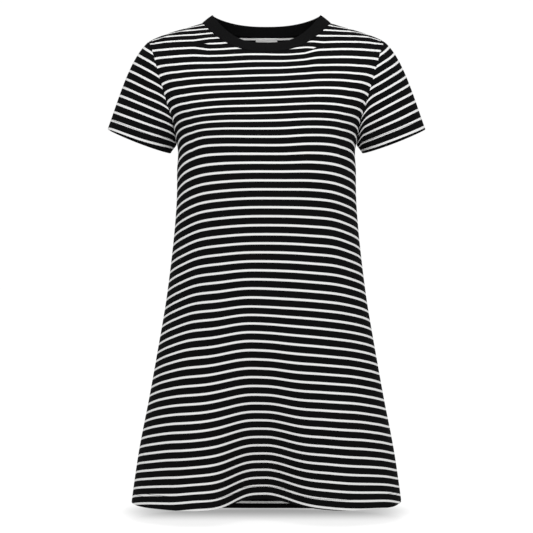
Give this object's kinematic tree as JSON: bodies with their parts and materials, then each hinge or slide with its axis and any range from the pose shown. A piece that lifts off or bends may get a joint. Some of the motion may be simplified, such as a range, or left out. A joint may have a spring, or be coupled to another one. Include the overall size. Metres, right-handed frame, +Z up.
{
  "type": "t-shirt dress",
  "caption": "Short flared jersey T-shirt dress with a crew neck and short set-in sleeves, worn shape, open at neck, cuffs and hem.",
  "frame": {"origin": "midway between the two points where the shoulder seams meet the neckband", "axes": "+Z up the body, -Y out of the front of the dress, +X towards the wearer's left sleeve"},
  "size_m": [0.534, 0.2491, 0.8435],
  "materials": {
    "striped_jersey": "matte",
    "plain_rib": "matte",
    "label_tape": "matte"
  },
  "bodies": {
    "root": {"front": "striped_jersey", "back": "striped_jersey", "sleeve_left": "striped_jersey", "sleeve_right": "striped_jersey", "neckband": "plain_rib", "label": "label_tape"}
  },
  "joints": []
}
